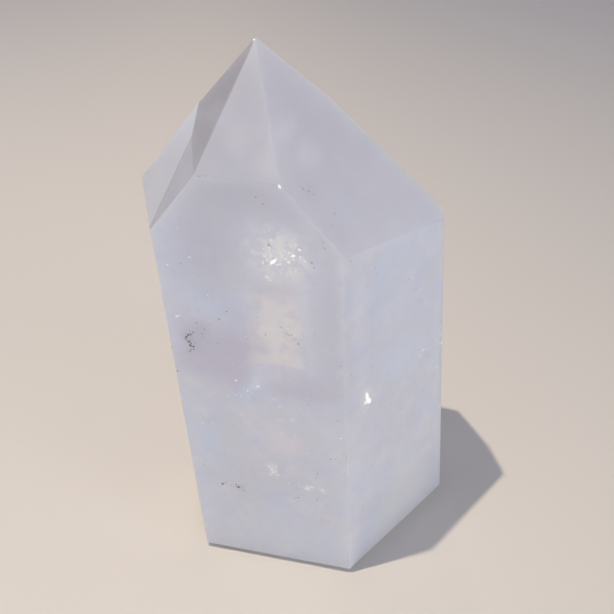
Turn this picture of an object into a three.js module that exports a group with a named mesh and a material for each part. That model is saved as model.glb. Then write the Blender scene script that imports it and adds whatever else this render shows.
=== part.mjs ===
// A polished quartz point: one uneven six-sided prism, sawn level at the foot, closed by a cap of nine sloping flats.
// Millimetres, +Z up. The crystal stands on its foot, with the broad front side facing -Y.
// The origin is on the foot's plane, under the middle of the crystal's bounding box.
import * as THREE from 'three';
import { ConvexGeometry } from 'three/addons/geometries/ConvexGeometry.js';

// Driving dimensions. Every flat is a plane, told by three values in degrees and millimetres:
// turn is the compass turn of its outward side, from the front (-Y) round towards the right (+X),
// tilt is its steepness, 0 facing straight up, 90 upright and 135 facing half down,
// reach is how far the plane lies from the working point, which is on the foot's plane near its middle.
const HEIGHT = 90;
const APEX = new THREE.Vector3(0.25, -8.5, HEIGHT);
const FOOT_BEVEL = 1;

// The six upright sides, in order from the front round to the right, the back and the left.
const FRONT_SIDE = { turn: 0, tilt: 89.6, reach: 22.5 };
const RIGHT_FRONT_SIDE = { turn: 62.2, tilt: 90.5, reach: 22.5 };
const RIGHT_BACK_SIDE = { turn: 118, tilt: 88.8, reach: 22.04 };
const BACK_SIDE = { turn: 180, tilt: 90, reach: 13.5 };
const LEFT_BACK_SIDE = { turn: 240, tilt: 90, reach: 15.6 };
const LEFT_FRONT_SIDE = { turn: -63.3, tilt: 90.3, reach: 20.9 };
const SIDES = [FRONT_SIDE, RIGHT_FRONT_SIDE, RIGHT_BACK_SIDE, BACK_SIDE, LEFT_BACK_SIDE, LEFT_FRONT_SIDE];

// The cap's main flats all pass through the apex, so they need no reach of their own.
const FRONT_CAP = { turn: 2, tilt: 44.8 };
const RIGHT_CAP = { turn: 72.3, tilt: 53.6 };
const BACK_CAP = { turn: 160, tilt: 57.3 };
const LEFT_BACK_CAP = { turn: 208, tilt: 52 };
const LEFT_CAP = { turn: -98.3, tilt: 50.3 };
const SLIVER_CAP = { turn: -40.4, tilt: 43.7 };
const MAIN_CAP = [FRONT_CAP, RIGHT_CAP, BACK_CAP, LEFT_BACK_CAP, LEFT_CAP, SLIVER_CAP];

// Three smaller flats cut the cap's lower corners and don't reach the apex.
const RIGHT_SHOULDER = { turn: 128, tilt: 52.4, reach: 52.1 };
const LEFT_SHOULDER = { turn: -62.5, tilt: 58.3, reach: 53.55 };
const SLIVER_FOOT = { turn: -52.5, tilt: 57.9, reach: 55.6 };
const SHOULDERS = [RIGHT_SHOULDER, LEFT_SHOULDER, SLIVER_FOOT];

// Corners closer together than this are one corner.
const SAME_CORNER = 0.02;

// The outward unit vector of a flat.
function outward({ turn, tilt }) {
  const t = THREE.MathUtils.degToRad(turn);
  const s = THREE.MathUtils.degToRad(tilt);
  return new THREE.Vector3(Math.sin(s) * Math.sin(t), -Math.sin(s) * Math.cos(t), Math.cos(s));
}

// The plane of a flat that lies at its reach from the working point.
function flatAtReach(flat) {
  return new THREE.Plane(outward(flat), -flat.reach);
}

// The plane of a flat that passes through the apex.
function flatThroughApex(flat) {
  return new THREE.Plane().setFromNormalAndCoplanarPoint(outward(flat), APEX);
}

// The narrow bevel between one side and the foot: half-way down-facing, FOOT_BEVEL wide and high.
function footBevel(side) {
  const reach = (side.reach - FOOT_BEVEL) * Math.SQRT1_2;
  return flatAtReach({ turn: side.turn, tilt: 135, reach });
}

// The point that three planes share, or null where two of them run side by side.
function sharedPoint(a, b, c) {
  const rows = new THREE.Matrix3();
  rows.set(...a.normal.toArray(), ...b.normal.toArray(), ...c.normal.toArray());
  if (Math.abs(rows.determinant()) < 1e-6) return null;
  return new THREE.Vector3(-a.constant, -b.constant, -c.constant).applyMatrix3(rows.invert());
}

// Every corner of the solid that all the planes enclose.
function corners(planes) {
  const found = [];
  for (let i = 0; i < planes.length; i++) {
    for (let j = i + 1; j < planes.length; j++) {
      for (let k = j + 1; k < planes.length; k++) {
        const point = sharedPoint(planes[i], planes[j], planes[k]);
        const kept = point && planes.every((plane) => plane.distanceToPoint(point) < 1e-6);
        if (kept && found.every((other) => other.distanceTo(point) > SAME_CORNER)) found.push(point);
      }
    }
  }
  return found;
}

// The crystal's solid, moved so that its bounding box is centred over the origin.
function crystalGeometry() {
  const foot = new THREE.Plane(new THREE.Vector3(0, 0, -1), 0);
  const planes = [
    foot,
    ...SIDES.map(flatAtReach),
    ...SIDES.map(footBevel),
    ...MAIN_CAP.map(flatThroughApex),
    ...SHOULDERS.map(flatAtReach),
  ];
  const geometry = new ConvexGeometry(corners(planes));
  geometry.computeBoundingBox();
  const middle = geometry.boundingBox.getCenter(new THREE.Vector3());
  return geometry.translate(-middle.x, -middle.y, 0);
}

const quartz = new THREE.MeshStandardMaterial({ color: 0xbbbac4, roughness: 0.08, metalness: 0, transparent: true, opacity: 0.6 });

const crystal = new THREE.Mesh(crystalGeometry(), quartz);
crystal.name = 'crystal';

const group = new THREE.Group();
group.add(crystal);

export default group;
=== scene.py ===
"""A polished, milky quartz point on a pale table: one stone with its clouds, cracks and dark flecks."""
from itertools import combinations
from math import cos, pi, radians, sin

import bpy
import numpy as np
from mathutils import Euler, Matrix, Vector


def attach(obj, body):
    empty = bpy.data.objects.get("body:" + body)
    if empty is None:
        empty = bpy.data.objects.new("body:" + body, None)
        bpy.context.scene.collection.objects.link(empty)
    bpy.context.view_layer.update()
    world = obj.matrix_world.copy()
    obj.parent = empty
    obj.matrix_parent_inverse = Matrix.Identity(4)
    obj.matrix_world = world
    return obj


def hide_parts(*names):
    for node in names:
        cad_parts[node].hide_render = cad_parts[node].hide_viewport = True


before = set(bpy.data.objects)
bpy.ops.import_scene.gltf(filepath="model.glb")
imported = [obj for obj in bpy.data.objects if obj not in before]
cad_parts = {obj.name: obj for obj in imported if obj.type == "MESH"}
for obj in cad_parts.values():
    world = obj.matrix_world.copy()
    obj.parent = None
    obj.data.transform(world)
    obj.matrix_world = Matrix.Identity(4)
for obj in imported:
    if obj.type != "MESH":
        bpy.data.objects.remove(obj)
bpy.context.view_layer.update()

MM = 0.001

# The picture is taken by hand from in front of the crystal, a little to its right and looking down on it,
# so the camera is held slightly off level.
CAMERA_PLACE = Vector((41.61, -125.27, 147.28)) * MM
CAMERA_AIM = Vector((1.23, 0.51, 41.89)) * MM
CAMERA_ROLL = radians(-3.96)
CAMERA_SENSOR = 36.0
CAMERA_LENS = 61.56

camera_data = bpy.data.cameras.new("camera")
camera_data.sensor_width = CAMERA_SENSOR
camera_data.lens = CAMERA_LENS
camera_data.clip_start = 0.005
camera_data.clip_end = 50.0
camera = bpy.data.objects.new("camera", camera_data)
bpy.context.scene.collection.objects.link(camera)
bpy.context.scene.camera = camera
camera.location = CAMERA_PLACE
level_turn = (CAMERA_AIM - CAMERA_PLACE).to_track_quat("-Z", "Y").to_matrix()
camera.rotation_euler = (level_turn @ Euler((0, 0, CAMERA_ROLL)).to_matrix()).to_euler()
bpy.context.scene.view_settings.view_transform = "Standard"

# The table is one wide pale sheet, warm and matt with a faint sheen, that fades into the room's light
# far out, as a studio's paper sweep does. The crystal stands on it, with a hair of air in between.
TABLE_RADIUS = 12.0
TABLE_CORNERS = 96
FADE_START = 0.27
FADE_END = 0.62
TABLE_DROP = 0.05 * MM
TABLE_COLOUR = (0.715, 0.675, 0.61, 1.0)
ROOM_LOW = (0.83, 0.85, 0.97, 1.0)


def link_piece(name, points, faces, material):
    """A mesh object from its points, its faces as lists of point numbers, and one material."""
    mesh = bpy.data.meshes.new(name)
    mesh.from_pydata(np.asarray(points).tolist(), [], [list(map(int, face)) for face in faces])
    mesh.materials.append(material)
    piece = bpy.data.objects.new(name, mesh)
    bpy.context.scene.collection.objects.link(piece)
    return piece


table_matt = bpy.data.materials.new("table_matt")
table_matt.use_nodes = True
table_shader = table_matt.node_tree.nodes["Principled BSDF"]
table_shader.inputs["Base Color"].default_value = TABLE_COLOUR
table_shader.inputs["Roughness"].default_value = 0.5
table_nodes = table_matt.node_tree.nodes
table_links = table_matt.node_tree.links
table_place = table_nodes.new("ShaderNodeTexCoord")
table_reach = table_nodes.new("ShaderNodeVectorMath")
table_reach.operation = "LENGTH"
table_links.new(table_place.outputs["Object"], table_reach.inputs[0])
table_fade = table_nodes.new("ShaderNodeMapRange")
table_fade.interpolation_type = "SMOOTHSTEP"
table_fade.inputs["From Min"].default_value = FADE_START
table_fade.inputs["From Max"].default_value = FADE_END
table_links.new(table_reach.outputs["Value"], table_fade.inputs["Value"])
far_light = table_nodes.new("ShaderNodeEmission")
far_light.inputs["Color"].default_value = ROOM_LOW
table_mix = table_nodes.new("ShaderNodeMixShader")
table_links.new(table_fade.outputs["Result"], table_mix.inputs["Fac"])
table_links.new(table_shader.outputs["BSDF"], table_mix.inputs[1])
table_links.new(far_light.outputs["Emission"], table_mix.inputs[2])
table_links.new(table_mix.outputs["Shader"], table_nodes["Material Output"].inputs["Surface"])

rim = np.linspace(0, 2 * pi, TABLE_CORNERS, endpoint=False)
table_level = np.full(TABLE_CORNERS, -TABLE_DROP)
table_rim = np.stack([np.cos(rim) * TABLE_RADIUS, np.sin(rim) * TABLE_RADIUS, table_level], axis=1)
table = link_piece("table", table_rim, [range(TABLE_CORNERS)], table_matt)

# The room is an even pale light, bright and a little cool near the horizon and softer overhead. A warm lamp
# hangs high in front on the left and draws the short shadow. A wide soft lamp lifts the right side, a
# weaker one the front, and a weak warm one stands behind.
ROOM_HIGH = (0.265, 0.275, 0.355, 1.0)
ROOM_HIGH_FROM = 0.6
LAMP_PIVOT = Vector((0, 0, 0.03))

room = bpy.data.worlds.new("room")
room.use_nodes = True
room_nodes = room.node_tree.nodes
room_links = room.node_tree.links
room_way = room_nodes.new("ShaderNodeTexCoord")
room_parts = room_nodes.new("ShaderNodeSeparateXYZ")
room_links.new(room_way.outputs["Generated"], room_parts.inputs["Vector"])
room_rise = room_nodes.new("ShaderNodeMapRange")
room_rise.interpolation_type = "SMOOTHSTEP"
room_rise.inputs["From Min"].default_value = 0.0
room_rise.inputs["From Max"].default_value = ROOM_HIGH_FROM
room_links.new(room_parts.outputs["Z"], room_rise.inputs["Value"])
room_tone = room_nodes.new("ShaderNodeMix")
room_tone.data_type = "RGBA"
room_tone.inputs["A"].default_value = ROOM_LOW
room_tone.inputs["B"].default_value = ROOM_HIGH
room_links.new(room_rise.outputs["Result"], room_tone.inputs["Factor"])
room_links.new(room_tone.outputs["Result"], room_nodes["Background"].inputs["Color"])
bpy.context.scene.world = room


def hang_lamp(name, turn, height, distance, aim, cone, radius, watts, colour):
    """A round lamp with a soft-edged cone, aimed at a point in millimetres.

    Seen from LAMP_PIVOT, it hangs at a turn from the front towards the right and at a height above level.
    Turn, height and cone are in degrees, distance and radius in metres.
    """
    t, h = radians(turn), radians(height)
    away = Vector((sin(t) * cos(h), -cos(t) * cos(h), sin(h)))
    lamp = bpy.data.lights.new(name, "SPOT")
    lamp.shadow_soft_size = radius
    lamp.spot_size = radians(cone)
    lamp.spot_blend = 1.0
    lamp.energy = watts
    lamp.color = colour
    holder = bpy.data.objects.new(name, lamp)
    holder.location = LAMP_PIVOT + away * distance
    holder.rotation_euler = (Vector(aim) * MM - holder.location).to_track_quat("-Z", "Y").to_euler()
    bpy.context.scene.collection.objects.link(holder)


hang_lamp("key_lamp", -53, 78.5, 1.2, (-130, -165, 0), 44, 0.011, 38.5, (1.0, 0.885, 0.735))
hang_lamp("side_lamp", 70, 9, 0.9, (0, 0, 40), 60, 0.2, 8.5, (0.90, 0.95, 1.0))
hang_lamp("front_lamp", -30, 12, 0.9, (0, 0, 40), 60, 0.2, 1.6, (0.90, 0.95, 1.0))
hang_lamp("back_lamp", -157, 24, 1.0, (0, 0, 30), 60, 0.03, 2.0, (1.0, 0.75, 0.45))

# The crystal is one piece of quartz, sawn level at the foot, ground to flats and polished all over.
# Fine milk inside clouds it, denser here and there, and every edge keeps the tiny round of its polishing.
# Its flats lie a hair, CRUMB_ROOM, under the planes of the frame's solid, so that flecks can stand proud.
EDGE_ROUND = 0.05 * MM
CRUMB_ROOM = 0.025 * MM
ROUND_STEPS = 3
SAME_WAY = 0.99995
SAME_REACH = 0.1 * MM
SAME_PLACE = 0.00001 * MM
SAME_CORNER = 0.03 * MM
LEAST_SPREAD = 1e-6
ODD_WAY = (0.31, 0.53, 0.79)


def flats_of(node):
    """Outward unit vectors and distances from the origin of a flat-sided solid's planes.

    The plane of every triangle is taken from its corners, and planes that lie alike are kept once.
    """
    mesh = node.data
    corner = np.empty(len(mesh.vertices) * 3)
    mesh.vertices.foreach_get("co", corner)
    corner = corner.reshape(-1, 3)
    used = np.empty(len(mesh.polygons) * 3, dtype=int)
    mesh.polygons.foreach_get("vertices", used)
    a, b, c = corner[used.reshape(-1, 3)].transpose(1, 0, 2)
    normal = np.cross(b - a, c - a)
    size = np.linalg.norm(normal, axis=1)
    order = np.argsort(-size)
    normal = (normal / size[:, None])[order]
    reach = np.einsum("ij,ij->i", normal, a[order])
    alike = (normal @ normal.T > SAME_WAY) & (abs(reach[:, None] - reach) < SAME_REACH)
    first = alike.argmax(axis=1) == np.arange(len(normal))
    return normal[first], reach[first]


def corners_between(normal, reach):
    """The corners of the solid inside all the planes, and a table of which planes meet in each of them.

    Every three planes give one point, and it counts where no other plane cuts it off. Points closer
    together than SAME_CORNER are one corner, in which the planes of all of them meet.
    """
    three = np.array(list(combinations(range(len(normal)), 3)))
    three = three[abs(np.linalg.det(normal[three])) > LEAST_SPREAD]
    point = np.linalg.solve(normal[three], reach[three][..., None])[..., 0]
    inside = (point @ normal.T <= reach + SAME_PLACE).all(axis=1)
    three, point = three[inside], point[inside]
    near = np.linalg.norm(point[:, None] - point, axis=2) < SAME_CORNER
    first, corner = np.unique(near.argmax(axis=1), return_inverse=True)
    meets = np.zeros((len(first), len(normal)), dtype=bool)
    meets[corner[:, None], three] = True
    return point[first], meets


def rounded_solid(name, normal, reach, radius, steps, material):
    """A convex flat-sided solid with its edges rounded, as a mesh object.

    The planes are first moved in by the radius, and a ball of that radius stands at each corner of the
    smaller solid. Every point of the surface is corner plus radius times direction. On a flat the direction
    is the flat's own, across an edge it turns from one flat's to the next one's, and at a corner it runs
    from there to the mean of all the flats' that meet. So the surface is one face for each flat, a strip for
    each edge and a fan of triangles for each corner, and its shading directions are the same directions.
    """
    corner, on = corners_between(normal, reach - radius)
    middle = on @ normal
    middle /= np.linalg.norm(middle, axis=1)[:, None]
    side = np.cross(middle, ODD_WAY)
    angle = np.arctan2(np.cross(middle, side) @ normal.T, side @ normal.T)
    order = np.where(on, angle, np.inf).argsort(axis=1)
    count = on.sum(axis=1)
    at, place = np.nonzero(np.arange(len(normal)) < count[:, None])
    this, after = order[at, place], order[at, (place + 1) % count[at]]
    turn = np.linspace(0, 1, steps + 1)[1:-1, None]
    across = (1 - turn) * normal[this][:, None] + turn * normal[after][:, None]
    across /= np.linalg.norm(across, axis=2)[..., None]

    at_flat, flat = np.nonzero(on)
    number = np.zeros(on.shape, dtype=int)
    number[at_flat, flat] = np.arange(len(flat))
    way = np.concatenate([normal[flat], across.reshape(-1, 3), middle])
    ball = np.concatenate([at_flat, np.repeat(at, steps - 1), np.arange(len(corner))])
    point = corner[ball] + way * radius
    arc = len(flat) + np.arange(len(at) * (steps - 1)).reshape(len(at), -1)
    arc = np.column_stack([number[at, this], arc, number[at, after]])
    tip = np.repeat(len(point) - len(corner) + at[:, None], steps, axis=1)
    fans = np.stack([tip, arc[:, :-1], arc[:, 1:]], axis=2).reshape(-1, 3)
    ends = (np.minimum(this, after) * len(normal) + np.maximum(this, after)).argsort().reshape(-1, 2)
    near, far = arc[ends[:, 0]], arc[ends[:, 1], ::-1]
    strips = np.stack([near[:, 1:], near[:, :-1], far[:, :-1], far[:, 1:]], axis=2).reshape(-1, 4)
    flats = []
    for one in range(len(normal)):
        used = np.flatnonzero(on[:, one])
        arm = corner[used] - corner[used].mean(axis=0)
        round_angle = np.arctan2(arm @ np.cross(normal[one], arm[0]), arm @ arm[0])
        flats.append(number[used[round_angle.argsort()], one].tolist())

    piece = link_piece(name, point, flats + strips.tolist() + fans.tolist(), material)
    piece.data.polygons.foreach_set("use_smooth", [True] * len(piece.data.polygons))
    piece.data.normals_split_custom_set_from_vertices(way.tolist())
    return piece


crystal_flats, crystal_reach = flats_of(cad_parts["crystal"])
crystal_reach -= CRUMB_ROOM

milky_quartz = bpy.data.materials.new("milky_quartz")
milky_quartz.use_nodes = True
nodes = milky_quartz.node_tree.nodes
links = milky_quartz.node_tree.links
quartz_shader = nodes["Principled BSDF"]
quartz_shader.inputs["Roughness"].default_value = 0.28
quartz_shader.inputs["IOR"].default_value = 1.544
quartz_shader.inputs["Transmission Weight"].default_value = 0.26
quartz_shader.inputs["Coat Weight"].default_value = 0.7
quartz_shader.inputs["Coat Roughness"].default_value = 0.14
quartz_shader.inputs["Coat IOR"].default_value = 1.54
quartz_shader.inputs["Subsurface Weight"].default_value = 0.7
quartz_shader.inputs["Subsurface Radius"].default_value = (1.0, 0.9, 0.75)
quartz_shader.inputs["Subsurface Scale"].default_value = 0.009
see_through = nodes.new("ShaderNodeVolumeAbsorption")
see_through.inputs["Color"].default_value = (0.86, 0.91, 1.0, 1.0)
see_through.inputs["Density"].default_value = 6.0
links.new(see_through.outputs["Volume"], nodes["Material Output"].inputs["Volume"])


def noise(place, scale, detail, low, high):
    """Smooth mottle between 0 and 1, of so many waves in a metre, cut at low and high."""
    grain = nodes.new("ShaderNodeTexNoise")
    grain.inputs["Scale"].default_value = scale
    grain.inputs["Detail"].default_value = detail
    links.new(place, grain.inputs["Vector"])
    cut = nodes.new("ShaderNodeMapRange")
    cut.interpolation_type = "SMOOTHSTEP"
    cut.inputs["From Min"].default_value = low
    cut.inputs["From Max"].default_value = high
    links.new(grain.outputs["Fac"], cut.inputs["Value"])
    return cut.outputs["Result"]


def times(a, b):
    """The product of two values, either of which may be a plain number."""
    product = nodes.new("ShaderNodeMath")
    product.operation = "MULTIPLY"
    for socket, value in zip(product.inputs, (a, b)):
        if isinstance(value, (int, float)):
            socket.default_value = value
        else:
            links.new(value, socket)
    return product.outputs["Value"]


def tint(colour, other, share):
    """Colour moved towards another by a share between 0 and 1."""
    mixed = nodes.new("ShaderNodeMix")
    mixed.data_type = "RGBA"
    if isinstance(colour, tuple):
        mixed.inputs["A"].default_value = colour
    else:
        links.new(colour, mixed.inputs["A"])
    mixed.inputs["B"].default_value = other
    links.new(share, mixed.inputs["Factor"])
    return mixed.outputs["Result"]


def cloud(place, centre, half, lean, soft, squared):
    """How deep a point lies in a cloud: 1 inside and 0 outside, with a border as wide as a share of it.

    The cloud is a ball stretched to its half sizes and leant about the front-to-back axis, or a block where
    squared is true. Centre and half sizes are in millimetres, and the lean is in degrees.
    """
    local = nodes.new("ShaderNodeMapping")
    local.vector_type = "TEXTURE"
    local.inputs["Location"].default_value = Vector(centre) * MM
    local.inputs["Rotation"].default_value = (0, radians(lean), 0)
    local.inputs["Scale"].default_value = Vector(half) * MM
    links.new(place, local.inputs["Vector"])
    edge = nodes.new("ShaderNodeMapRange")
    edge.interpolation_type = "SMOOTHSTEP"
    edge.inputs["From Min"].default_value = 1.0
    edge.inputs["From Max"].default_value = 1.0 - soft
    if squared:
        size = nodes.new("ShaderNodeVectorMath")
        size.operation = "ABSOLUTE"
        links.new(local.outputs["Vector"], size.inputs[0])
        parts = nodes.new("ShaderNodeSeparateXYZ")
        links.new(size.outputs["Vector"], parts.inputs["Vector"])
        largest = nodes.new("ShaderNodeMath")
        largest.operation = "MAXIMUM"
        links.new(parts.outputs["X"], largest.inputs[0])
        links.new(parts.outputs["Z"], largest.inputs[1])
        deepest = nodes.new("ShaderNodeMath")
        deepest.operation = "MAXIMUM"
        links.new(largest.outputs["Value"], deepest.inputs[0])
        links.new(parts.outputs["Y"], deepest.inputs[1])
        links.new(deepest.outputs["Value"], edge.inputs["Value"])
    else:
        size = nodes.new("ShaderNodeVectorMath")
        size.operation = "LENGTH"
        links.new(local.outputs["Vector"], size.inputs[0])
        links.new(size.outputs["Value"], edge.inputs["Value"])
    return edge.outputs["Result"]


def skin_of(place, flat, depth):
    """1 on one flat of the crystal, and 0 deeper under its plane than depth, so on all other flats."""
    along = nodes.new("ShaderNodeVectorMath")
    along.operation = "DOT_PRODUCT"
    along.inputs[1].default_value = Vector(crystal_flats[flat])
    links.new(place, along.inputs[0])
    near = nodes.new("ShaderNodeMapRange")
    near.interpolation_type = "SMOOTHSTEP"
    near.inputs["From Min"].default_value = crystal_reach[flat] - depth
    near.inputs["From Max"].default_value = crystal_reach[flat] - SKIN_FULL * depth
    links.new(along.outputs["Value"], near.inputs["Value"])
    return near.outputs["Result"]


def flat_facing(turn, tilt):
    """The number of the flat that faces nearest to a turn from the front and a tilt from straight up."""
    t, s = radians(turn), radians(tilt)
    return int(np.argmax(crystal_flats @ (sin(s) * sin(t), -sin(s) * cos(t), cos(s))))


MILK = (0.80, 0.815, 0.88, 1.0)
BLUE_MILK = (0.75, 0.83, 1.0, 1.0)
PALE_BLUE_MILK = (0.80, 0.865, 1.0, 1.0)
WHITE_MILK = (0.97, 0.97, 1.0, 1.0)
BRIGHT_MILK = (1.0, 1.0, 1.0, 1.0)
WARM_MILK = (1.0, 0.945, 0.90, 1.0)
ROSE_MILK = (0.95, 0.89, 0.92, 1.0)
PAINTED_SHADE_MILK = (0.68, 0.69, 0.755, 1.0)
FRONT_CAP_PAINTED_SHADE = (0.605, 0.61, 0.66, 1.0)
RIGHT_CAP_PAINTED_SHADE = (0.62, 0.612, 0.645, 1.0)
LEFT_FLATS_PAINTED_SHADE = (0.685, 0.70, 0.725, 1.0)
DARK_FLATS_PAINTED_SHADE = (0.445, 0.44, 0.462, 1.0)
GREY_MILK = (0.64, 0.65, 0.71, 1.0)
PLUM_MILK = (0.70, 0.675, 0.78, 1.0)
DUSK_MILK = (0.47, 0.46, 0.53, 1.0)

# centre, half sizes, lean, colour, share, soft border, squared
CLOUDS_AND_PAINTED_LIGHT = [
    # painted shade: the whole upper part, cap included, darkened, as the lamp overhead lights the cap more
    # than the sides
    ((0, -2, 104), (60, 60, 44), 0, PAINTED_SHADE_MILK, 1.0, 0.45, False),
    # painted view of the lit table through the stone: a warm window in the middle of the front side (next
    # three rows)
    ((1.5, -17.6, 48.8), (4.7, 6, 4.0), 1.5, WARM_MILK, 0.6, 0.25, True),
    ((2.8, -17.6, 53.0), (4.6, 6, 7.0), 0, WARM_MILK, 0.6, 0.7, False),
    ((3.0, -17.6, 57.0), (6.4, 6, 15.0), 0, WARM_MILK, 0.5, 0.9, False),
    ((3.0, -17.6, 65.4), (7.4, 6, 6.6), 20, WHITE_MILK, 0.3, 0.95, False),
    ((1.5, -17.6, 59.8), (6.5, 6, 2.6), 8, GREY_MILK, 0.25, 0.9, False),
    # painted shadow: the table's shadow seen through the stone, a plum-grey patch on the left of the front
    # side (next two rows)
    ((-7.6, -17.6, 45.4), (9.0, 6, 8.0), 14, PLUM_MILK, 0.78, 0.7, True),
    ((-3.8, -17.6, 51.0), (3.2, 6, 9.0), 0, PLUM_MILK, 0.35, 0.8, False),
    ((-10.8, -17.6, 58.0), (6.0, 6, 9.5), 0, BLUE_MILK, 0.5, 0.9, False),
    ((-6.8, -17.6, 55.0), (2.4, 6, 3.4), 0, BLUE_MILK, 0.5, 0.9, False),
    ((-3.0, -17.6, 39.5), (2.6, 6, 7.0), 32, BLUE_MILK, 0.8, 0.9, False),
    ((-2.0, -17.6, 41.0), (1.4, 6, 3.2), 40, WHITE_MILK, 0.4, 0.9, False),
    ((-11.2, -17.6, 28.5), (4.4, 6, 5.2), 10, BLUE_MILK, 0.9, 0.9, False),
    ((-0.7, -17.8, 22.4), (1.4, 3, 2.6), -20, WHITE_MILK, 0.9, 0.9, False),
    ((1.6, -17.8, 29.4), (4.6, 6, 4.6), 0, ROSE_MILK, 0.7, 0.9, False),
    ((5.6, -17.8, 41.0), (8.6, 6, 4.4), -4, PLUM_MILK, 0.7, 0.9, False),
    ((5.2, -17.9, 19.6), (1.3, 3, 1.4), 0, WHITE_MILK, 0.8, 0.9, False),
    ((7.7, -17.9, 19.8), (0.9, 3, 1.0), 0, WHITE_MILK, 0.6, 0.9, False),
    ((18.3, -6.0, 40.0), (7.0, 7, 7.0), 0, PALE_BLUE_MILK, 1.0, 0.9, False),
    ((17.6, -7.0, 54.0), (8.0, 8, 13.0), 0, PALE_BLUE_MILK, 0.45, 0.8, False),
    ((22.0, 1.5, 38.0), (2.5, 3, 9.0), 0, PALE_BLUE_MILK, 0.6, 0.9, False),
    ((23.2, 3.8, 36.0), (1.3, 2.6, 28.0), 0, GREY_MILK, 0.4, 0.6, False),
    # painted highlight: a soft white halo round the glint on the right-front side
    ((14.3, -13.4, 37.3), (2.2, 3, 2.6), 0, WHITE_MILK, 0.7, 0.9, False),
    # painted shade: the lower right of the cap darkened
    ((22.0, 0.0, 66.0), (9.0, 10, 8.0), 0, GREY_MILK, 0.5, 0.9, False),
    ((-15.0, 4.0, 52.0), (8.0, 10, 12.0), 20, BLUE_MILK, 0.7, 0.9, False),
    ((-18.0, -8.0, 30.0), (7.0, 8, 9.0), -15, WHITE_MILK, 0.5, 0.9, False),
    ((4.0, 18.0, 40.0), (9.0, 5, 11.0), -15, WHITE_MILK, 0.6, 0.9, False),
    ((-5.0, 17.0, 60.0), (6.0, 5, 8.0), 10, WARM_MILK, 0.5, 0.9, False),
    ((14.0, 14.0, 28.0), (9.0, 8, 10.0), 0, PLUM_MILK, 0.6, 0.8, False),
    ((20.0, 8.0, 50.0), (6.0, 7, 9.0), 25, WHITE_MILK, 0.5, 0.9, False),
    ((-10.0, 14.0, 20.0), (9.0, 6, 9.0), 0, PLUM_MILK, 0.5, 0.8, False),
    ((6.0, 17.0, 15.0), (7.0, 5, 6.0), 15, BLUE_MILK, 0.7, 0.9, False),
    # painted light: the foot of the right-front side lifted, where the shadow on the table leaves it dark
    ((19.0, -5.0, 1.0), (13.0, 14, 19.0), 0, BRIGHT_MILK, 0.95, 0.8, False),
    ((9.4, -17.6, 52.0), (2.4, 4, 14.0), 0, GREY_MILK, 0.25, 0.5, True),
    ((-11.2, -17.6, 47.8), (2.4, 3, 3.0), 0, DUSK_MILK, 0.2, 0.9, False),
    ((-9.0, -17.6, 50.0), (2.2, 3, 1.8), 0, DUSK_MILK, 0.16, 0.9, False),
    ((13.6, -14.9, 56.0), (2.6, 4, 9.0), 0, WHITE_MILK, 0.3, 0.9, False),
    ((7.4, -14.1, 73.8), (2.0, 3, 1.6), 0, DUSK_MILK, 0.3, 0.9, False),
    ((11.3, -17.0, 50.0), (3.4, 4, 27.0), 0, GREY_MILK, 0.5, 0.9, False),
    ((11.0, -16.6, 69.0), (5.5, 5, 7.0), 0, GREY_MILK, 0.6, 0.9, False),
    ((14.0, -5.0, 76.0), (9.0, 9, 9.0), 0, GREY_MILK, 0.4, 0.9, False),
    ((-8.0, -17.6, 65.0), (9.0, 6, 12.0), 0, GREY_MILK, 0.4, 0.9, False),
    ((2.0, -17.6, 74.0), (15.0, 6, 5.5), 0, GREY_MILK, 0.5, 0.9, False),
    ((0.0, -17.8, 6.0), (15.0, 6, 10.0), 0, PALE_BLUE_MILK, 0.5, 0.9, False),
    ((-6.6, -17.9, 17.0), (1.6, 3, 1.3), 0, DUSK_MILK, 0.3, 0.9, False),
]

STIR_WAVES = 260.0
STIR_WIDTH = 3.0 * MM

coordinates = nodes.new("ShaderNodeTexCoord")
straight = coordinates.outputs["Object"]
stir = nodes.new("ShaderNodeTexNoise")
stir.inputs["Scale"].default_value = STIR_WAVES
stir.inputs["Detail"].default_value = 3.0
links.new(straight, stir.inputs["Vector"])
centred = nodes.new("ShaderNodeVectorMath")
centred.operation = "SUBTRACT"
centred.inputs[1].default_value = (0.5, 0.5, 0.5)
links.new(stir.outputs["Color"], centred.inputs[0])
strength = nodes.new("ShaderNodeVectorMath")
strength.operation = "SCALE"
strength.inputs["Scale"].default_value = STIR_WIDTH
links.new(centred.outputs["Vector"], strength.inputs[0])
moved = nodes.new("ShaderNodeVectorMath")
moved.operation = "ADD"
links.new(straight, moved.inputs[0])
links.new(strength.outputs["Vector"], moved.inputs[1])
stirred = moved.outputs["Vector"]

# the base colour: the stone's own milky tones, with painted light and shade laid in among the clouds and on
# the cap's flats
milk_and_painted_light = tint(MILK, BLUE_MILK, times(noise(straight, 110, 3, 0.42, 0.68), 0.5))
milk_and_painted_light = tint(milk_and_painted_light, WHITE_MILK, times(noise(straight, 260, 4, 0.48, 0.72), 0.25))
milk_and_painted_light = tint(milk_and_painted_light, GREY_MILK, times(noise(straight, 900, 4, 0.5, 0.75), 0.18))
for centre, half, lean, colour, share, soft, squared in CLOUDS_AND_PAINTED_LIGHT:
    milk_and_painted_light = tint(milk_and_painted_light, colour, times(cloud(stirred, centre, half, lean, soft, squared), share))

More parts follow.
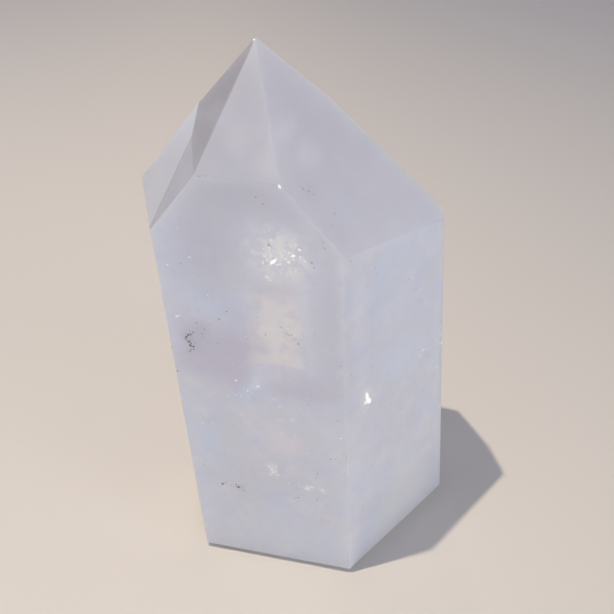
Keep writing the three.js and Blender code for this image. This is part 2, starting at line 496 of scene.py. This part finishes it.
# a fine white mottle over a crack veil close under the front side, darker grain in the window-like painted
# view of the lit table through the stone, and white bits low on that side
veil = cloud(stirred, (3.4, -17.6, 65.4), (6.6, 6, 6.2), 15, 0.95, False)
milk_and_painted_light = tint(milk_and_painted_light, BRIGHT_MILK, times(noise(straight, 760, 5, 0.45, 0.57), veil))
painted_table_view = cloud(stirred, (2.2, -17.6, 52.0), (5.0, 6, 8.5), 1.5, 0.3, True)
milk_and_painted_light = tint(milk_and_painted_light, PAINTED_SHADE_MILK, times(times(noise(stirred, 480, 5, 0.46, 0.72), painted_table_view), 0.4))
bits = cloud(stirred, (-1.5, -17.7, 33.0), (14.0, 6, 14.0), 0, 0.7, False)
milk_and_painted_light = tint(milk_and_painted_light, WHITE_MILK, times(times(noise(straight, 1000, 4, 0.62, 0.74), bits), 0.8))

# Every flat of the cap gets its own painted shade, set for the way it takes the light. The narrow ones on
# the left are painted dull and dark from the tip down, those left of them bright, and the two broad ones so
# that they pass into each other.
SKIN_DEPTH = 0.12 * MM
SKIN_FULL = 0.3

# turn and tilt of the flat, colour, share
FLAT_PAINTED_SHADES = [
    (2, 44.8, FRONT_CAP_PAINTED_SHADE, 0.84), (72.3, 53.6, RIGHT_CAP_PAINTED_SHADE, 0.66),
    (-98.3, 50.3, LEFT_FLATS_PAINTED_SHADE, 0.8), (-62.5, 58.3, LEFT_FLATS_PAINTED_SHADE, 0.8),
    (-40.4, 43.7, DARK_FLATS_PAINTED_SHADE, 1.0), (-52.5, 57.9, DARK_FLATS_PAINTED_SHADE, 1.0),
]
for flat_turn, flat_tilt, colour, share in FLAT_PAINTED_SHADES:
    skin = skin_of(straight, flat_facing(flat_turn, flat_tilt), SKIN_DEPTH)
    milk_and_painted_light = tint(milk_and_painted_light, colour, times(skin, share))

# soft clouds and streaks under the cap's two broad flats: centre, half sizes, lean, colour, share
CAP_CLOUDS = [
    ((3.6, -10.6, 80.9), (2.4, 4, 3.0), 0, WHITE_MILK, 0.2),
    ((1.8, -15.9, 78.4), (3.2, 4, 2.8), 0, ROSE_MILK, 0.22),
    ((-2.0, -14.0, 80.0), (2.6, 4, 2.6), 0, ROSE_MILK, 0.14),
    ((6.5, -10.0, 76.8), (2.6, 4, 4.0), 10, WHITE_MILK, 0.16),
    ((12.4, -1.6, 74.6), (4.6, 5, 2.4), 46, DUSK_MILK, 0.14),
]
CAP_CLOUD_SOFT = 0.9
for centre, half, lean, colour, share in CAP_CLOUDS:
    milk_and_painted_light = tint(milk_and_painted_light, colour, times(cloud(stirred, centre, half, lean, CAP_CLOUD_SOFT, False), share))
milk_and_painted_light = tint(milk_and_painted_light, WHITE_MILK, times(noise(straight, 190, 5, 0.46, 0.74), 0.08))
milk_and_painted_light = tint(milk_and_painted_light, GREY_MILK, times(noise(straight, 230, 5, 0.46, 0.74), 0.12))
links.new(milk_and_painted_light, quartz_shader.inputs["Base Color"])

crystal = rounded_solid("quartz_point", crystal_flats, crystal_reach, EDGE_ROUND, ROUND_STEPS, milky_quartz)
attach(crystal, "root")
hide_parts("crystal")

# Dark and grey specks of other minerals grew in the quartz, and grinding has cut through those close under
# the flats, so they sit level with the polish. Most lie on the front side, the darkest in a bent chain.
# Each row is place, length, width and lean, in millimetres and degrees.
DARK_SPECKS = [
    (-10.7, -17.7, 49.5, 0.3, 0.18, 40), (-11.15, -17.7, 49.1, 0.36, 0.2, 30),
    (-11.5, -17.7, 48.9, 0.4, 0.3, 60), (-11.9, -17.7, 48.4, 0.5, 0.4, 10),
    (-12.0, -17.7, 47.95, 0.34, 0.3, 80), (-11.65, -17.7, 47.55, 0.42, 0.36, 20),
    (-11.3, -17.7, 47.3, 0.3, 0.24, 0), (-11.4, -17.7, 46.9, 0.5, 0.44, -60),
    (-10.95, -17.7, 46.7, 0.42, 0.34, 30), (-11.0, -17.7, 46.2, 0.3, 0.24, 0),
    (-11.45, -17.7, 46.0, 0.34, 0.22, 60), (-11.7, -17.7, 45.6, 0.26, 0.2, 0),
    (-10.6, -17.7, 47.5, 0.18, 0.14, 0), (-9.6, -17.9, 17.2, 0.5, 0.38, 20),
    (-6.8, -17.9, 17.1, 0.52, 0.45, -30), (-7.2, -17.9, 17.6, 0.22, 0.16, 0),
    (2.3, -17.6, 66.8, 0.24, 0.2, 0), (9.3, -17.8, 27.4, 0.22, 0.2, 0), (10.1, -17.8, 27.6, 0.2, 0.16, 0),
    (-14.5, -17.7, 46.0, 0.3, 0.2, 60), (-14.2, -17.7, 41.3, 0.3, 0.2, 60),
]
GREY_SPECKS = [
    (-10.9, -17.6, 61.9, 0.25, 0.2, 0), (-9.9, -17.6, 51.4, 0.4, 0.28, 10),
    (-8.8, -17.6, 50.4, 0.35, 0.28, 30), (-9.3, -17.7, 49.5, 0.28, 0.24, 0),
    (-9.0, -17.7, 49.0, 0.22, 0.18, 0), (-7.0, -17.7, 48.0, 0.3, 0.24, 0),
    (-6.3, -17.6, 52.7, 0.4, 0.24, 35), (-5.0, -17.6, 54.3, 0.45, 0.24, 35),
    (-8.0, -17.6, 51.4, 0.22, 0.16, 0), (-6.0, -17.9, 16.4, 0.34, 0.28, 0),
    (-7.6, -17.9, 18.1, 0.2, 0.14, 0), (-12.3, -17.9, 21.0, 0.8, 0.1, -45),
    (-11.4, -17.9, 19.4, 0.26, 0.14, -45), (7.4, -14.3, 73.9, 0.5, 0.42, 0),
    (6.7, -14.8, 74.5, 0.3, 0.25, 0), (7.9, -14.1, 73.3, 0.3, 0.26, 0),
    (10.5, -13.5, 70.2, 0.42, 0.26, 40), (10.6, -15.2, 69.4, 0.26, 0.22, 0),
    (11.6, -13.6, 68.8, 0.24, 0.2, 0), (9.8, -17.5, 68.2, 0.4, 0.14, -60),
    (10.0, -17.5, 67.3, 0.5, 0.18, -60), (8.1, -17.5, 64.7, 0.5, 0.3, -80),
    (8.4, -17.6, 63.9, 0.26, 0.2, 0), (2.0, -17.5, 73.3, 0.3, 0.26, 0),
    (1.1, -17.5, 74.2, 0.34, 0.24, -60), (-7.4, -17.4, 76.5, 0.5, 0.12, 0),
    (-6.5, -17.5, 76.5, 0.6, 0.12, 0), (-5.6, -17.5, 76.6, 0.4, 0.12, 0),
    (5.4, -17.6, 50.1, 0.4, 0.34, 0), (3.9, -17.6, 51.6, 0.9, 0.12, -35),
    (4.8, -17.6, 50.9, 0.7, 0.1, -40), (3.0, -17.6, 52.8, 0.8, 0.08, -30),
    (0.6, -17.6, 51.0, 0.7, 0.1, 80), (10.7, -17.7, 35.9, 0.3, 0.24, 0),
    (11.8, -17.8, 28.6, 0.22, 0.18, 0), (6.9, -17.8, 23.5, 0.9, 0.12, 88),
    (6.7, -17.8, 22.4, 0.4, 0.14, 88), (6.6, -17.9, 17.4, 0.6, 0.18, 88),
    (3.4, -17.9, 17.1, 0.55, 0.2, 15), (2.8, -17.9, 16.8, 0.3, 0.2, 0), (4.0, -17.9, 17.8, 0.3, 0.14, 20),
    (7.5, -17.9, 12.6, 0.5, 0.12, -10), (8.3, -17.9, 12.4, 0.4, 0.12, -10),
    (6.2, -17.7, 38.3, 0.24, 0.2, 0), (4.4, -17.7, 37.3, 0.2, 0.18, 0), (6.8, -17.7, 40.4, 0.24, 0.16, 0),
    (11.5, -17.7, 47.0, 0.3, 0.26, 0), (11.6, -17.7, 45.1, 0.24, 0.2, 0),
    (12.4, -17.0, 37.4, 0.3, 0.24, 0), (12.7, -16.6, 44.4, 0.26, 0.22, 0),
    (14.9, -12.3, 42.7, 0.3, 0.26, 0), (16.9, -8.3, 32.0, 0.34, 0.28, 0),
    (17.9, -6.4, 25.0, 0.3, 0.24, 0), (18.9, -5.1, 54.3, 0.28, 0.2, 0), (19.7, -3.5, 51.2, 0.24, 0.2, 0),
    (14.2, -13.5, 28.3, 0.26, 0.2, 0), (13.2, -16.1, 64.6, 0.24, 0.2, 0),
]
SPECK_CORNERS = 10
SPECK_PROUD = 0.02 * MM
SPECK_DEEP = 0.12 * MM
SPECK_RAGGED = (0.72, 1.22)
STREWN_MARGIN = 0.4 * MM
STREWN_WIDTH = (0.5, 0.9)
MINERAL_WAVES = 1800.0


def flakes(name, table_of_flakes, seed, material):
    """Small flat crumbs let into the crystal's flats, joined in one mesh object.

    Each crumb is a lens: a rim round its place, a top point just proud of the flat and a bottom point under
    it. The rim runs at half the length times cosine and half the width times sine of the turn, leant from
    level, and its distance is made ragged by a share drawn for every corner. The flat nearest to a place
    carries it.
    """
    draw = np.random.default_rng(seed)
    values = np.array(table_of_flakes)
    count = len(values)
    place = values[:, :3] * MM
    gap = place @ crystal_flats.T - crystal_reach
    flat = np.abs(gap).argmin(axis=1)
    out = crystal_flats[flat]
    place = place - out * gap[np.arange(count), flat][:, None]
    level = np.cross((0.0, 0.0, 1.0), out)
    level /= np.linalg.norm(level, axis=1)[:, None]
    rising = np.cross(out, level)
    lean = np.radians(values[:, 5])[:, None]
    long_way = level * np.cos(lean) + rising * np.sin(lean)
    short_way = rising * np.cos(lean) - level * np.sin(lean)
    turn = np.linspace(0, 2 * pi, SPECK_CORNERS, endpoint=False) + draw.uniform(0, 1, (count, 1))
    far = draw.uniform(*SPECK_RAGGED, (count, SPECK_CORNERS)) * MM / 2
    along = (np.cos(turn) * far * values[:, 3:4])[..., None] * long_way[:, None]
    across = (np.sin(turn) * far * values[:, 4:5])[..., None] * short_way[:, None]
    rim_points = place[:, None] + along + across + out[:, None] * SPECK_PROUD * 0.5
    top = place + out * SPECK_PROUD
    bottom = place - out * SPECK_DEEP
    point = np.concatenate([rim_points, top[:, None], bottom[:, None]], axis=1).reshape(-1, 3)
    here = np.arange(SPECK_CORNERS)
    after = np.roll(here, -1)
    lid = np.stack([here, after, np.full(SPECK_CORNERS, SPECK_CORNERS)], axis=1)
    base = np.stack([after, here, np.full(SPECK_CORNERS, SPECK_CORNERS + 1)], axis=1)
    one = np.concatenate([lid, base])
    faces = (one[None] + np.arange(count)[:, None, None] * (SPECK_CORNERS + 2)).reshape(-1, 3)
    piece = link_piece(name, point, faces, material)
    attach(piece, "root")


def mineral(name, dark, light, roughness):
    """A dull mineral whose colour wanders between two tones from speck to speck."""
    stuff = bpy.data.materials.new(name)
    stuff.use_nodes = True
    tree = stuff.node_tree
    spot = tree.nodes.new("ShaderNodeTexCoord")
    grain = tree.nodes.new("ShaderNodeTexNoise")
    grain.inputs["Scale"].default_value = MINERAL_WAVES
    grain.inputs["Detail"].default_value = 2.0
    tree.links.new(spot.outputs["Object"], grain.inputs["Vector"])
    tone = tree.nodes.new("ShaderNodeMix")
    tone.data_type = "RGBA"
    tone.inputs["A"].default_value = dark
    tone.inputs["B"].default_value = light
    tree.links.new(grain.outputs["Fac"], tone.inputs["Factor"])
    tree.links.new(tone.outputs["Result"], tree.nodes["Principled BSDF"].inputs["Base Color"])
    tree.nodes["Principled BSDF"].inputs["Roughness"].default_value = roughness
    return stuff


def strewn(groups, seed):
    """Rows of a flake table, drawn round given places: count, centre, spread, least and greatest length.

    A crumb that would lie beyond an edge of its nearest flat, or closer to it than a margin, is left out.
    """
    draw = np.random.default_rng(seed)
    rows = []
    for count, centre, spread, least, greatest in groups:
        place = draw.normal(centre, spread, (count, 3))
        long = draw.uniform(least, greatest, (count, 1))
        gap = place @ crystal_flats.T * MM - crystal_reach
        flat = np.abs(gap).argmin(axis=1)
        gap[np.arange(count), flat] = -1.0
        kept = (gap < -STREWN_MARGIN).all(axis=1)
        wide = long * draw.uniform(*STREWN_WIDTH, (count, 1))
        lean = draw.uniform(0, 180, (count, 1))
        rows.append(np.hstack([place, long, wide, lean])[kept])
    return np.concatenate(rows).tolist()


DARK_GROUPS = [
    (9, (-11.4, -17.7, 47.2), (0.3, 0, 0.8), 0.12, 0.24),
    (4, (-11.2, -17.7, 49.1), (0.4, 0, 0.3), 0.1, 0.2),
    (4, (-6.9, -17.9, 17.2), (0.4, 0, 0.3), 0.12, 0.24),
    (3, (-9.6, -17.9, 17.3), (0.3, 0, 0.2), 0.1, 0.2),
]
GREY_GROUPS = [
    (14, (-9.5, -17.7, 49.2), (1.6, 0, 1.4), 0.1, 0.2),
    (8, (-8.0, -17.9, 17.4), (1.6, 0, 0.6), 0.1, 0.22),
    (10, (7.2, -14.2, 73.9), (1.0, 0.6, 0.8), 0.12, 0.26),
    (16, (9.0, -17.7, 36.0), (2.4, 0, 9.0), 0.1, 0.2), (10, (4.0, -17.6, 52.0), (2.4, 0, 2.0), 0.1, 0.22),
    (12, (16.0, -10.0, 40.0), (3.0, 5.0, 14.0), 0.12, 0.26),
    (12, (6.0, 18.0, 44.0), (6.0, 0, 9.0), 0.14, 0.4),
    (10, (-16.0, 8.0, 30.0), (2.0, 3.0, 12.0), 0.14, 0.36),
    (10, (20.0, 9.0, 34.0), (1.5, 3.0, 10.0), 0.14, 0.36),
    (8, (-18.0, -10.0, 44.0), (1.5, 3.0, 9.0), 0.14, 0.3),
]
dark_mineral = mineral("dark_mineral", (0.07, 0.06, 0.06, 1.0), (0.30, 0.28, 0.29, 1.0), 0.6)
grey_mineral = mineral("grey_mineral", (0.40, 0.39, 0.42, 1.0), (0.62, 0.61, 0.66, 1.0), 0.5)
flakes("dark_flecks", DARK_SPECKS + strewn(DARK_GROUPS, 2), 3, dark_mineral)
flakes("grey_flecks", GREY_SPECKS + strewn(GREY_GROUPS, 7), 4, grey_mineral)

# Painted glints: crumbs of bright white in the flats, lit by a little light of their own, stand for the
# lamp's light that small cracks inside, a polished corner and the tip turn to the eye, as the milk would
# hide the cracks themselves. The rows are as for the specks.
PAINTED_GLINTS = [
    (14.15, -13.6, 38.35, 0.45, 0.35, 80), (14.25, -13.5, 37.7, 0.85, 0.75, 80),
    (14.5, -13.1, 36.45, 1.1, 0.8, 80), (14.05, -13.85, 36.7, 0.65, 0.5, 20),
    (14.3, -13.4, 37.05, 0.5, 0.45, 0), (4.45, -17.45, 76.15, 0.66, 0.32, -68),
    (2.7, -17.6, 64.1, 0.6, 0.5, 30), (3.0, -17.6, 64.4, 0.4, 0.3, 60), (2.4, -17.6, 63.9, 0.36, 0.3, 0),
    (4.5, -17.5, 64.8, 0.34, 0.3, 0), (5.6, -17.5, 65.5, 0.42, 0.34, 30), (5.3, -17.5, 65.3, 0.3, 0.2, 0),
    (6.5, -17.5, 66.6, 0.4, 0.36, 0), (-1.9, -4.3, 89.7, 0.34, 0.2, 0),
]
FAINT_PAINTED_GLINTS = [
    (3.9, -17.5, 65.3, 0.7, 0.35, 70), (3.3, -17.6, 63.7, 0.5, 0.3, 0), (2.3, -17.6, 63.6, 0.5, 0.35, 20),
    (5.0, -17.6, 65.9, 0.5, 0.3, 40), (6.0, -17.6, 67.3, 0.5, 0.26, 10), (2.6, -17.6, 67.6, 0.5, 0.4, 0),
    (2.3, -17.6, 66.3, 0.4, 0.3, 50), (4.9, -17.6, 64.2, 0.35, 0.3, 0), (1.2, -17.6, 63.6, 0.4, 0.3, 0),
    (1.6, -17.6, 61.4, 0.7, 0.3, -30), (2.1, -17.6, 60.9, 0.5, 0.22, -20),
    (-0.1, -17.6, 65.2, 0.3, 0.26, 0), (-12.75, -17.6, 52.2, 0.9, 0.35, 35),
    (4.0, -17.6, 52.6, 0.3, 0.24, 0), (-4.9, -17.7, 41.1, 0.6, 0.4, 30),
    (-1.5, -17.7, 40.5, 0.7, 0.45, 45), (-3.2, -17.7, 39.3, 0.4, 0.3, 0),
    (-0.6, -17.8, 22.6, 0.5, 0.4, 60), (0.2, -17.8, 23.6, 0.4, 0.3, 60),
    (-0.9, -17.8, 21.4, 0.3, 0.26, 0), (5.2, -17.9, 19.7, 0.6, 0.35, -15),
    (4.8, -17.9, 19.4, 0.35, 0.3, 0), (7.6, -17.9, 19.8, 0.5, 0.4, 0), (2.0, -17.9, 20.2, 0.3, 0.22, 0),
    (11.0, -17.8, 32.3, 0.4, 0.26, 0), (22.6, 2.4, 38.2, 0.4, 0.26, 60), (22.75, 2.7, 36.2, 0.5, 0.3, 60),
    (22.4, 2.1, 36.6, 0.3, 0.2, 0), (20.5, -1.6, 37.9, 0.6, 0.3, 40), (20.2, -2.2, 37.3, 0.3, 0.24, 0),
    (22.3, 1.8, 31.5, 0.4, 0.24, 60), (-13.0, -17.6, 61.4, 0.3, 0.26, 0),
    (-9.5, -17.6, 63.2, 0.3, 0.26, 0), (-7.6, -17.6, 56.9, 0.26, 0.2, 0),
    (-11.4, -17.6, 30.9, 0.26, 0.2, 0), (-9.8, -17.6, 31.2, 0.24, 0.2, 0),
]
PAINTED_GLINT_GROUPS = [
    (22, (3.6, -17.6, 64.9), (1.4, 0, 0.8), 0.2, 0.5),
    (14, (3.2, -17.6, 66.0), (1.9, 0, 1.5), 0.14, 0.34),
    (8, (14.3, -13.4, 37.1), (0.3, 0.3, 0.8), 0.16, 0.34),
    (8, (-0.6, -17.8, 22.6), (0.6, 0, 1.0), 0.2, 0.4),
    (8, (-3.4, -17.7, 39.6), (2.0, 0, 1.6), 0.16, 0.34),
    (7, (5.6, -17.9, 19.7), (1.2, 0, 0.4), 0.16, 0.34),
    (8, (22.4, 2.2, 37.0), (0.3, 0.3, 2.6), 0.16, 0.34),
    (5, (20.4, -1.9, 37.6), (0.6, 1.0, 0.6), 0.16, 0.3),
    (14, (2.0, -17.7, 45.0), (8.0, 0, 14.0), 0.1, 0.2),
    (12, (-2.0, 18.0, 56.0), (2.5, 0, 3.0), 0.16, 0.4),
    (8, (-19.0, -6.0, 33.0), (1.0, 2.0, 4.0), 0.16, 0.36),
    (10, (19.0, 10.0, 48.0), (1.5, 2.5, 4.0), 0.16, 0.4),
]


def painted_glint_shader(name, colour, glow):
    """A painted glint: white, smooth, and lit by a little light of its own."""
    stuff = bpy.data.materials.new(name)
    stuff.use_nodes = True
    shader = stuff.node_tree.nodes["Principled BSDF"]
    shader.inputs["Base Color"].default_value = colour
    shader.inputs["Roughness"].default_value = 0.3
    shader.inputs["Emission Color"].default_value = colour
    shader.inputs["Emission Strength"].default_value = glow
    return stuff


painted_glint_bright = painted_glint_shader("painted_glint_bright", (1.0, 0.985, 0.92, 1.0), 0.42)
flakes("painted_glints_strong", PAINTED_GLINTS, 5, painted_glint_bright)
painted_glint_faint = painted_glint_shader("painted_glint_faint", (0.97, 0.97, 1.0, 1.0), 0.12)
flakes("painted_glints_weak", FAINT_PAINTED_GLINTS + strewn(PAINTED_GLINT_GROUPS, 8), 6, painted_glint_faint)
